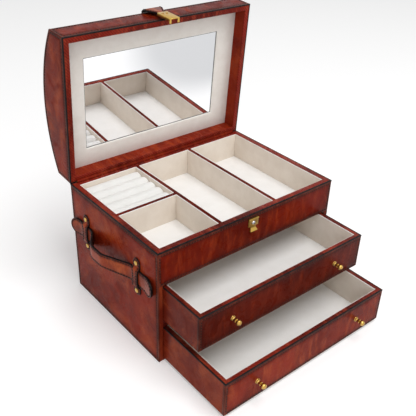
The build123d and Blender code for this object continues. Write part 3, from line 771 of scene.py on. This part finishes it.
end_clearance, back_clearance = 0.3 * mm, 0.5 * mm
hinge_low, hinge_high = box_of("hinge_case_roll", "hinge_lid_roll", shut=True)
hinge_gap = (hinge_high.x + end_clearance, hinge_low.y - back_clearance)
rim_width = half_w - box_of("tray_linings", "ring_bay_lining")[1].x + roll * 0.7
rim_size = (half_w * 2 + roll * 2.2, half_d * 2 + roll * 2.2)
rim_rings("tray_rim", rim_size, Matrix.Translation((0, 0, case_top)), "case", rim_width, gap=hinge_gap)

# %% [markdown]
# ## Suede linings
# Suede is wrapped on card: a floor and four walls with soft edges. The walls get a
# darker colour than the floor, as painted shade. Their narrow tops keep the floor's
# lighter colour, so they show as a light line.

# %% Suede boxes
lining = 1.2 * mm
card_round, card_ease, card_top = lining * 0.36, 0.05 * mm, lining * 0.4


def slab(into, low, high, rounding=card_round):
    """A block between two corners, with rounded edges."""
    made = bmesh.ops.create_cube(into, size=1.0)["verts"]
    bmesh.ops.scale(into, vec=Vector(high) - Vector(low), verts=made)
    bmesh.ops.translate(into, vec=(Vector(high) + Vector(low)) / 2, verts=made)
    edges = list({edge for vert in made for edge in vert.link_edges})
    round_edges(into, edges, rounding, segments=3, clamp=False)


def suede_box(name, low, high, body, hidden):
    """Four suede walls and a floor inside a box, in place of a lining's node."""
    walls, ground = bmesh.new(), bmesh.new()
    slab(ground, (low.x + lining, low.y + lining, low.z),
         (high.x - lining, high.y - lining, low.z + lining))
    for start, end in ((low.x, low.x + lining), (high.x - lining, high.x)):
        slab(walls, (start, low.y + card_ease, low.z), (end, high.y - card_ease, high.z))
    for start, end in ((low.y, low.y + lining), (high.y - lining, high.y)):
        slab(walls, (low.x + lining, start, low.z), (high.x - lining, end, high.z))
    # The wall tops keep the floor's lighter colour; the rest of each wall is darker as painted shade.
    for face in walls.faces:
        face.material_index = int(face.calc_center_median().z > high.z - card_top)
    add_piece(name + "_walls", walls, body, ["suede_wall", "suede_floor"], hides=[hidden])
    add_piece(name + "_floor", ground, body, "suede_floor")


bays = [(*box, name) for name in ("tray_linings", "ring_bay_lining") for box in island_boxes(name)]
for number, (low, high, hidden) in enumerate(bays):
    suede_box(f"tray_suede_{number}", low, high, "case", hidden)

# %% [markdown]
# ## The drawers
# Each drawer has a stitched front, a burnished edge and a red band on its rim. Its
# sides are plain hide, because they slide in the case. At its front corners the
# hide of the front turns on to the side and ends in a dark seam.

# %% Drawer leather
lip = 0.25 * mm
lining_lap, foot_gap, sunk, corner_round = 0.3 * mm, 0.3 * mm, 0.5 * mm, 0.2 * mm
# The upper drawer's darker hide is partly painted shade.
for drawer, hide in (("upper_drawer", "deep_hide"), ("lower_drawer", "warm_hide")):
    low, high = box_of(drawer + "_rim_cap", drawer + "_cover")
    width, depth, front_top = high.x * 2 + lip * 2, high.y - low.y + lip * 2, high.z - bead_drop
    upright_panel(drawer + "_front", (0, low.y), (1, 0, 0), width, low.z, front_top, drawer, hide,
                  band=2.6 * mm, proud=0.35 * mm)
    inner_low, inner_high = box_of(drawer + "_lining")
    middle = Matrix.Translation((0, (low.y + high.y) / 2, high.z))
    rim_rings(drawer + "_rim", (width, depth), middle, drawer, high.x - inner_high.x + lip - lining_lap)
    suede_box(drawer + "_suede", inner_low, inner_high, drawer, drawer + "_lining")
    turned_edge, seam = bmesh.new(), bmesh.new()
    for side in (-1, 1):
        for into, start, end, proud in ((turned_edge, 0.4, 3.6, 0.25), (seam, 3.4, 4.4, 0.08)):
            across = sorted((side * (high.x - sunk), side * (high.x + proud * mm)))
            slab(into, (across[0], low.y + start * mm, low.z + foot_gap),
                 (across[1], low.y + end * mm, front_top), corner_round)
    add_piece(drawer + "_turned_edges", turned_edge, drawer, "band_hide")
    add_piece(drawer + "_side_seams", seam, drawer, "seam_groove")

# %% [markdown]
# ## The lid's panels
# The lid has two arched ends, a low wall in front and behind, and a dome. An arched
# end starts as its two lower corners. One more point is spun about the dome's
# centre to trace the arch, and one face fills the outline. The dome's panel is
# drawn flat, cut across every few millimetres, and bent over the boards.

# %% Lid outlines
dome_cuts, arch_steps = 38, 18
lid_low = box_of("lid_rim_cap", shut=True)[0].z
dome_points = points_of("lid_cover_dome", shut=True)
crest = max(point.z for point in dome_points)
wall_top = max(point.z for point in dome_points if abs(abs(point.y) - half_d) < 0.01 * mm)
dome_radius = (half_d ** 2 + (crest - wall_top) ** 2) / (2 * (crest - wall_top))
dome_centre = crest - dome_radius
dome_reach = math.asin(half_d / dome_radius) * dome_radius


def arched_end(low):
    """An end's outline: two lower corners and an arch, with the lid's heights as they are."""
    bm = bmesh.new()
    corners = [bm.verts.new((side * (half_d + roll), low, 0)) for side in (-1, 1)]
    first = bm.verts.new((half_d + roll, wall_top + roll / 2, 0))
    sweep = 2 * math.atan2(first.co.x, first.co.y - dome_centre)
    bmesh.ops.spin(bm, geom=[first], cent=(0, dome_centre, 0), axis=(0, 0, 1), angle=sweep,
                   steps=arch_steps)
    arch = sorted((vert for vert in bm.verts if vert not in corners), key=lambda vert: -vert.co.x)
    bm.faces.new(corners + arch)
    bm.normal_update()
    return bm


def bend_dome(bm, cut):
    """Bends flat work over the dome: its Y runs along the arc and its Z stands out from it."""
    for number in range(1, dome_cuts if cut else 0):
        cut_across(bm, (0, dome_reach * (2 * number / dome_cuts - 1), 0), (0, 1, 0))
    for vert in bm.verts:
        angle, out = vert.co.y / dome_radius, dome_radius + vert.co.z
        vert.co = (vert.co.x, out * math.sin(angle), dome_centre + out * math.cos(angle))


print(f"the dome rises {(crest - wall_top) / mm:.0f} mm over a radius of {dome_radius / mm:.0f} mm")

# %% Lid panels
for name, side in (("lid_right", 1), ("lid_left", -1)):
    stitched_panel(name, lambda: arched_end(lid_low + bead_drop),
                   facing((side * half_w, 0, 0), (0, side, 0)), "lid", "warm_hide", shut=True)
for name, side, low in (("lid_front", -1, lid_low + bead_drop), ("lid_back", 1, lid_low + hinge_drop)):
    upright_panel(name, (0, side * half_d), (-side, 0, 0), front_width, low, wall_top, "lid",
                  "red_hide", shut=True)
stitched_panel("lid_dome", lambda: rectangle(front_width, dome_reach * 2), Matrix.Identity(4),
               "lid", "warm_hide", shut=True, bend=bend_dome)
rim_rings("lid_rim", rim_size, facing((0, 0, lid_low), up=(0, -1, 0)), "lid", rim_width, shut=True,
          gap=hinge_gap)

# %% [markdown]
# ## Softened edges
# Real plates, frames and dividers have no knife edges. A merged copy of the CAD
# piece gets a small bevel along every sharp edge and stands in for the node. A thin
# dark border inside the window of the mirror's frame is a painted reflection of the
# frame's thickness in the glass.

# %% Softened pieces
sharp_corner = math.radians(30)


def stand_in(name, kind, bm, finish, shut=False, smooth=sharp_usual):
    """Adds a piece that stands for a CAD node, on its body, and hides the node."""
    return add_piece(name + kind, bm, body_of(nodes[name])[0], finish, hides=[name],
                     shut=shut, smooth=smooth)


def softened(name, width, finish, segments=2):
    """A copy of a CAD node with its sharp edges bevelled. The width is in mm."""
    bm = loose_copy(name)
    edges = [edge for edge in bm.edges if len(edge.link_faces) == 2
             and edge.calc_face_angle() > sharp_corner]
    round_edges(bm, edges, width * mm, segments)
    stand_in(name, "_softened", bm, finish)


softened("mirror_frame", 0.5, "frame_suede")
frame_points = points_of("mirror_frame", shut=True)
inside_x = min(abs(point.x) for point in frame_points)
window_low, window_high = box_around([point for point in frame_points
                                      if abs(abs(point.x) - inside_x) < 0.1 * mm])
window_size = (window_high.x * 2 + 0.2 * mm, window_high.y - window_low.y + 0.2 * mm)
glass_face = box_of("mirror_glass", shut=True)[0].z
# painted reflection: a dark strip on the glass where the frame's thickness would be seen reflected
bevel = border(lambda: rectangle(*window_size), 0, 1.3 * mm, low=-0.1 * mm, high=0.35 * mm,
               inner_round=0.3 * mm, segments=2)
moved(bevel, facing((0, (window_low.y + window_high.y) / 2, glass_face), up=(0, -1, 0)))
add_piece("mirror_bevel", bevel, "lid", "glass_edge", shut=True)
for name, width, finish, segments in (
        ("lock_plate", 0.35, "brushed_brass", 2), ("lock_button", 0.4, "bright_steel", 2),
        ("clasp_clip", 0.35, "brushed_brass", 2), ("tray_long_dividers", 0.9, "divider_hide", 3),
        ("tray_cross_divider", 0.9, "divider_hide", 3), ("base_pad", 0.6, "base_felt", 2)):
    softened(name, width, finish, segments)

# %% [markdown]
# ## Bound straps
# The handles, their keepers and the clasp are cut from thick leather. The cut edge
# is rounded and waxed until it shines almost black. A pressed groove with stitches
# follows it, and the face stands a little proud inside. Faces are sorted by the
# way they look: outward is the face, sideways is the cut edge.

# %% Strap helpers
edge_width, strap_groove, groove_depth, cut_round = 1.1 * mm, 0.9 * mm, 0.3 * mm, 0.7 * mm
# How far each step goes in (mm), how far it rises (mm), and its burnish.
strap_steps = ((0.7, 0.3, 0.8), (1.4, 0.12, 0.35), (1.6, 0.03, 0.1))
outward_enough = 0.5  # the cosine between a face's way and the strap's outward way
on_face, on_edge, on_groove = 0, 1, 2


def ring_lines(ring):
    """The middle line of each closed ring of quads, with the way each quad faces."""
    members, lines = dict.fromkeys(ring), []
    while members:
        face = next(iter(members))
        edge = next(edge for edge in face.edges if all(near in members for near in edge.link_faces))
        line, normals = [], []
        while face in members:
            del members[face]
            line.append((edge.verts[0].co + edge.verts[1].co) / 2)
            normals.append(face.normal.copy())
            edge = next(other for other in face.edges if other is not edge
                        and not set(other.verts) & set(edge.verts))
            face = next((near for near in edge.link_faces if near is not face), None)
        lines.append((line + [line[0]], normals))
    return lines


def bound_strap(name, outward, shut=False, steps=strap_steps):
    """Thick leather with a waxed edge, a stitched groove and a raised face."""
    bm = loose_copy(name, shut)
    burnish = bm.verts.layers.float.new("burnish")
    for face in bm.faces:
        looks_out = face.normal.dot(outward(face.calc_center_median())) > outward_enough
        face.material_index = on_face if looks_out else on_edge
    rims = [edge for edge in bm.edges if len({face.material_index for face in edge.link_faces}) == 2]
    for face in round_edges(bm, rims, cut_round, segments=3):
        face.material_index = on_edge
    bm.normal_update()
    face_side = [face for face in bm.faces if face.material_index == on_face]
    for vert in bm.verts:
        vert[burnish] = 1.0
    inset(bm, face_side, edge_width)
    groove = inset(bm, face_side, strap_groove, -groove_depth)
    for face in groove:
        face.material_index = on_groove
    for distance, rise, worn in steps:
        inset(bm, face_side, distance * mm, rise * mm)
        for vert in {vert for face in face_side for vert in face.verts}:
            vert[burnish] = worn
    bm.normal_update()
    thread = bmesh.new()
    for line, normals in ring_lines(groove):
        sew(thread, line, normals=normals, margin=0)
    stand_in(name, "_leather", bm, ["strap_hide", "burnished_edge", "seam_groove"], shut=shut)
    add_piece(name + "_stitches", thread, body_of(nodes[name])[0], "waxed_thread",
              shut=shut, smooth=sharp_thread)


print("bound_strap is ready")

# %% [markdown]
# ## Handles, keepers and clasp
# The handles and their keepers look sideways, the clasp strap forward, and its
# sewn-down root mostly up. The root is too narrow for a raised face.

# %% Handles, keepers and clasp
clasp_way, root_way = Vector((0, -0.92, 0.38)), Vector((0, -0.45, 0.89))
for name in ("handle_strap_left", "handle_strap_right", "handle_keepers"):
    bound_strap(name, lambda centre: Vector((math.copysign(1, centre.x), 0, 0)))
bound_strap("clasp_strap", lambda centre: clasp_way, shut=True)
bound_strap("clasp_root", lambda centre: root_way, shut=True, steps=())

# %% [markdown]
# ## Turned brass
# Each knob is turned from brass: a stepped plate, a collar, a waisted neck and a
# ball. The studs that hold the keepers have domed heads. A turned shape is a half
# outline spun about its axis.


# %% Knobs and studs
def turned(profile, place, steps):
    """Spins a half outline of (radius, height) in mm about Z."""
    bm = bmesh.new()
    verts = [bm.verts.new((radius * mm, 0, height * mm)) for radius, height in profile]
    edges = [bm.edges.new(pair) for pair in zip(verts, verts[1:])]
    bmesh.ops.spin(bm, geom=verts + edges, cent=(0, 0, 0), axis=(0, 0, 1), angle=math.tau, steps=steps,
                   use_merge=True)
    bmesh.ops.remove_doubles(bm, verts=bm.verts, dist=merge_gap)
    return moved(bm, place)


def ball_outline(radius, centre, neck, steps=14):
    """The outline of a ball, from the neck's radius to its top."""
    first = math.asin(neck / radius)
    angles = [first + (math.pi - first) * step / steps for step in range(steps + 1)]
    return [(radius * math.sin(angle), centre - radius * math.cos(angle)) for angle in angles]


knob_outline = [(0, 0.2), (3.9, 0.2), (3.9, 0.8), (3.6, 1.2), (3.3, 1.3), (3.3, 2.2), (3, 2.5), (2.7, 2.7),
                (2.45, 3.4), (2.35, 4.4), (2.35, 5.6), (2.5, 6.2), (2.9, 6.6), (2.9, 7.1), (2.4, 7.5),
                (2, 7.8), *ball_outline(4, 11.5, neck=2)]
for drawer in ("upper_drawer", "lower_drawer"):
    low, high = box_of(drawer + "_rosettes")
    knobs = bmesh.new()
    reach = (high.z - low.z) / 2
    for x in (low.x + reach, high.x - reach):
        place = facing((x, high.y, (low.z + high.z) / 2))
        merge(knobs, turned(knob_outline, place, steps=40))
    add_piece(drawer + "_brass_knobs", knobs, drawer, "polished_brass",
              hides=[drawer + "_knobs", drawer + "_rosettes"])

stud_outline = [(0, 0), (1.3, 0), (1.3, 0.4), (3.3, 0.4), (3.55, 0.55), (3.6, 0.8), (3.4, 1.2), (2.8, 1.6),
                (1.9, 1.88), (0.9, 2.0), (0, 2.05)]
stud_sunk = 1.6 * mm
studs = bmesh.new()
for low, high in island_boxes("keeper_studs"):
    side = math.copysign(1, low.x)
    middle = (low + high) / 2
    outer = high.x if side > 0 else low.x
    place = facing((outer - side * stud_sunk, middle.y, middle.z), (0, side, 0))
    merge(studs, turned(stud_outline, place, steps=28))
stand_in("keeper_studs", "_domed", studs, "polished_brass", smooth=sharp_turned)

# %% [markdown]
# ## The ring cushion
# Five foam rolls covered in plush stand side by side, so that a ring can be pushed
# between two of them. Each roll is a grid, crowned from seam to seam, drawn in and
# lowered at its ends, with small waves where the plush pulls at its seams.

# %% Ring rolls
roll_count, roll_cuts_long, roll_cuts_round = 5, 64, 18
roll_depth, end_length, end_dip, seam_pull, skirt_end = 8.5 * mm, 4.5 * mm, 1.5 * mm, 0.25 * mm, 1 * mm
wave_long, wave_short = 13, 31  # the two waves whose product makes the pull look uneven
end_height, end_width = 0.72, 0.9  # the share of its height and width that a roll keeps at its ends
cushion_low, cushion_high = box_of("ring_cushion")
roll_pitch = (cushion_high.y - cushion_low.y) / roll_count
half_length = (cushion_high.x - cushion_low.x) / 2
middle_x = (cushion_high.x + cushion_low.x) / 2
rolls = bmesh.new()
for number in range(roll_count):
    one = bmesh.new()
    bmesh.ops.create_grid(one, x_segments=roll_cuts_long, y_segments=roll_cuts_round, size=0.5)
    middle_y = cushion_low.y + roll_pitch * (number + 0.5)
    phase = number * 1.9
    for vert in one.verts:
        along, across = math.sin(vert.co.x * math.pi), math.sin(vert.co.y * math.pi)
        crown = math.sqrt(max(1 - across * across, 0))
        end = min((1 - abs(along)) * half_length / end_length, 1)
        drawn = math.sqrt(max(1 - (1 - end) ** 2, 0))
        wave = math.sin(along * wave_short + phase) * math.sin(along * wave_long + phase * 2)
        height = crown * (end_height + (1 - end_height) * drawn)
        width = roll_pitch / 2 * (end_width + (1 - end_width) * drawn)
        vert.co = (middle_x + along * half_length, middle_y + width * across,
                   cushion_high.z - roll_depth * (1 - height) - end_dip * (1 - drawn)
                   + seam_pull * wave * abs(across))
    add_skirt(one, cushion_low.z + skirt_end)
    merge(rolls, one)
ring_rolls = stand_in("ring_cushion", "_rolls", rolls, "roll_plush", smooth=sharp_turned)

# %% [markdown]
# ## Studio
# A pale floor and a white surround. The camera, the glossy leather and the mirror
# see the surround as pure white, while it lights the chest more gently. For them
# the floor shines a little too, and still shows the shadow.

# %% Floor and surround
floor_size, floor_tone, floor_shine, gentle = 12.0, 0.96, 0.17, 0.5


def seen_directly(tree):
    """1 for rays from the camera, from glossy surfaces and through glass, 0 for diffuse light."""
    path = node(tree, "LightPath").outputs
    seen = maths(tree, "ADD", path["Is Camera Ray"], path["Is Glossy Ray"], clamp=True)
    return maths(tree, "ADD", seen, path["Is Transmission Ray"], clamp=True)


tree, shader, place = new_material("white_floor")
plain_values(shader, Roughness=1.0, Specular_IOR_Level=0.0, Emission_Color=(1, 1, 1, 1),
             Base_Color=(floor_tone, floor_tone, floor_tone, 1))
shine = maths(tree, "MULTIPLY", seen_directly(tree), floor_shine)
tree.links.new(shine, shader.inputs["Emission Strength"])
floor = new_object("floor", mesh_of(rectangle(floor_size, floor_size), "floor"))
floor.data.materials.append(finishes["white_floor"])

world = bpy.data.worlds.new("surround")
scene.world = world
world.use_nodes = True
tree = world.node_tree
surround = tree.nodes["Background"]
plain_values(surround, Color=(1, 1, 1, 1))
tree.links.new(maths(tree, "ADD", maths(tree, "MULTIPLY", seen_directly(tree), 1 - gentle), gentle),
               surround.inputs["Strength"])
print("floor and surround are set")

# %% [markdown]
# ## Light and camera
# A broad lamp above and in front gives the soft shadow. A wider, weaker one lights
# the front from the left. The camera's place fits the picture's corners best.

# %% Lamps and camera
aim = (0, 0, 0.1)
for name, spot, size, power in (("overhead", (0.2, -1.1, 2.9), 1.8, 48),
                                ("front_fill", (-1.8, -2.6, 2.2), 2.6, 24)):
    lamp = bpy.data.lights.new(name, "AREA")
    lamp.shape, lamp.size, lamp.energy = "SQUARE", size, power
    made = new_object(name, lamp)
    made.location = spot
    made.rotation_euler = (Vector(aim) - Vector(spot)).to_track_quat("-Z", "Y").to_euler()

camera_spot = (-0.5211, -0.6288, 0.6401)
yaw, pitch, lean = -40.22, 90 - 31.58, 2.06  # degrees: to the right, up from straight down, sideways
lens = bpy.data.cameras.new("camera")
lens.sensor_width, lens.lens = 36.0, 54.67
lens.clip_start, lens.clip_end = 0.01, 50
camera = new_object("camera", lens)
camera.matrix_world = Matrix.Translation(camera_spot)
for angle, axis in ((yaw, "Z"), (pitch, "X"), (lean, "Z")):
    camera.matrix_world = camera.matrix_world @ Matrix.Rotation(math.radians(angle), 4, axis)
scene.camera = camera
scene.view_settings.view_transform = "Standard"
print("two soft lights and the camera are set")
